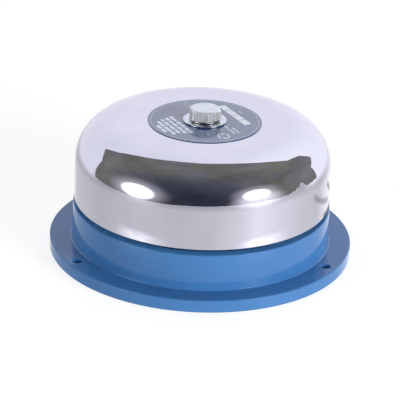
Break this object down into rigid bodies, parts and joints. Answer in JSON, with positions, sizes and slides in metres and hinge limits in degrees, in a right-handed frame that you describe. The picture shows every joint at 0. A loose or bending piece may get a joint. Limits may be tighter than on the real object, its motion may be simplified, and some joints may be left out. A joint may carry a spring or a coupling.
{
  "type": "fire alarm bell",
  "caption": "Round alarm bell: a chromed dome gong bolted to a centre post on a flanged base, with a solenoid that drives a striker against the inside of the gong.",
  "frame": {"origin": "The centre of the base's back face, the face that goes against the wall.", "axes": "+Z points from the back face out through the gong. +X is the direction in which the striker hits. +Y goes from the centre to the single fixing hole that is on top on a wall."},
  "size_m": [0.178, 0.178, 0.0878],
  "materials": {
    "blue_gloss": "gloss",
    "chrome": "mirror polished",
    "zinc_steel": "zinc plated",
    "soft_iron": "turned, bare",
    "brass": "turned",
    "label_print": "gloss film",
    "black_rubber": "matt",
    "white_nylon": "satin",
    "black_plastic": "satin",
    "enamelled_copper": "enamelled wire",
    "coil_tape": "adhesive tape",
    "red_insulation": "satin",
    "spring_steel": "bright"
  },
  "bodies": {
    "bell_base": {"base_housing": "blue_gloss", "cable_grommet": "black_rubber", "centre_post": "zinc_steel", "post_washer": "zinc_steel", "post_nut": "zinc_steel", "gong": "chrome", "gong_seat_washer": "black_rubber", "label_disc": "label_print", "gong_washer": "chrome", "lock_washer": "zinc_steel", "gong_bolt": "chrome", "solenoid_yoke": "zinc_steel", "yoke_screw_1": "zinc_steel", "yoke_screw_2": "zinc_steel", "bobbin": "white_nylon", "coil_winding": "enamelled_copper", "coil_tape": "coil_tape", "pole_piece": "soft_iron", "rear_buffer": "black_rubber", "guide_bracket": "zinc_steel", "guide_bracket_screw": "zinc_steel", "guide_bush": "white_nylon", "return_spring": "spring_steel", "terminal_block": "black_plastic", "terminal_block_screw_1": "zinc_steel", "terminal_block_screw_2": "zinc_steel", "terminal_clamp_1": "brass", "terminal_clamp_2": "brass", "terminal_screw_1": "zinc_steel", "terminal_screw_2": "zinc_steel", "terminal_screw_3": "zinc_steel", "terminal_screw_4": "zinc_steel", "rectifier_diode": "black_plastic", "lead_terminal_to_diode": "red_insulation", "lead_diode_to_coil": "red_insulation", "lead_terminal_to_coil": "black_plastic"},
    "striker": {"plunger": "soft_iron", "push_rod": "brass", "rod_collar": "zinc_steel", "striker_head": "white_nylon"}
  },
  "joints": [
    {"name": "striker_slide", "type": "slide", "parent": "bell_base", "child": "striker", "axis": [1, 0, 0], "range_m": [0, 0.003], "stiffness_N_per_m": 400, "springref_m": -0.002, "deforming": ["return_spring"]}
  ]
}
